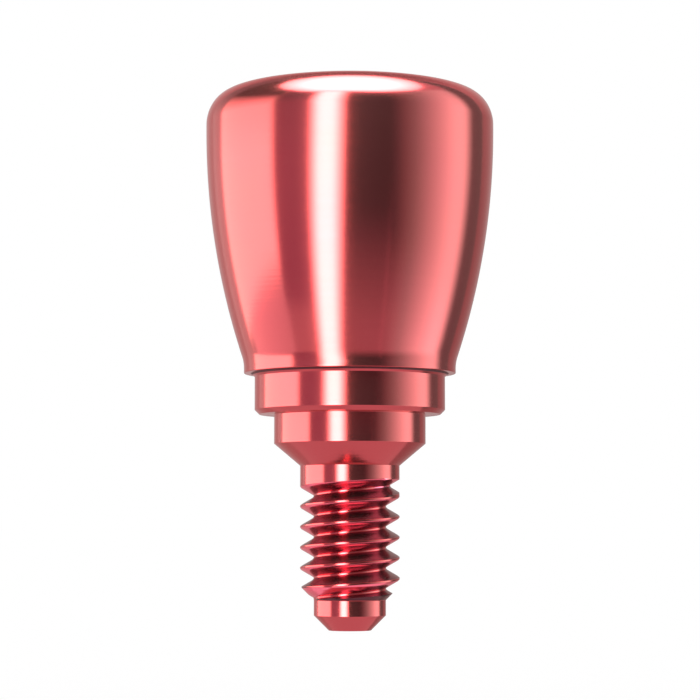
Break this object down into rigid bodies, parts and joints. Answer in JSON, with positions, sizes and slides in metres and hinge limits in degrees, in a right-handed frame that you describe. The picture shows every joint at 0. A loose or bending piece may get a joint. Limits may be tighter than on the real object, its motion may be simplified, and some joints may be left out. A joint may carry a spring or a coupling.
{
  "type": "healing abutment",
  "caption": "Turned healing abutment: a flared round head with a hex driver socket above a stepped implant seat and a fine right-hand screw thread.",
  "frame": {"origin": "centre of the seat plane, on the axis, where the underside of the head rests on the implant's platform", "axes": "+Z along the implant's axis towards the mouth and the flat top of the head; X and Y square to it, with the thread's groove starting 130 degrees from +X"},
  "size_m": [0.0056, 0.0056, 0.0106],
  "materials": {
    "anodised_titanium": "polished titanium alloy, anodised pink-red, with very fine turning marks"
  },
  "bodies": {
    "root": {"healing_abutment": "anodised_titanium"}
  },
  "joints": []
}
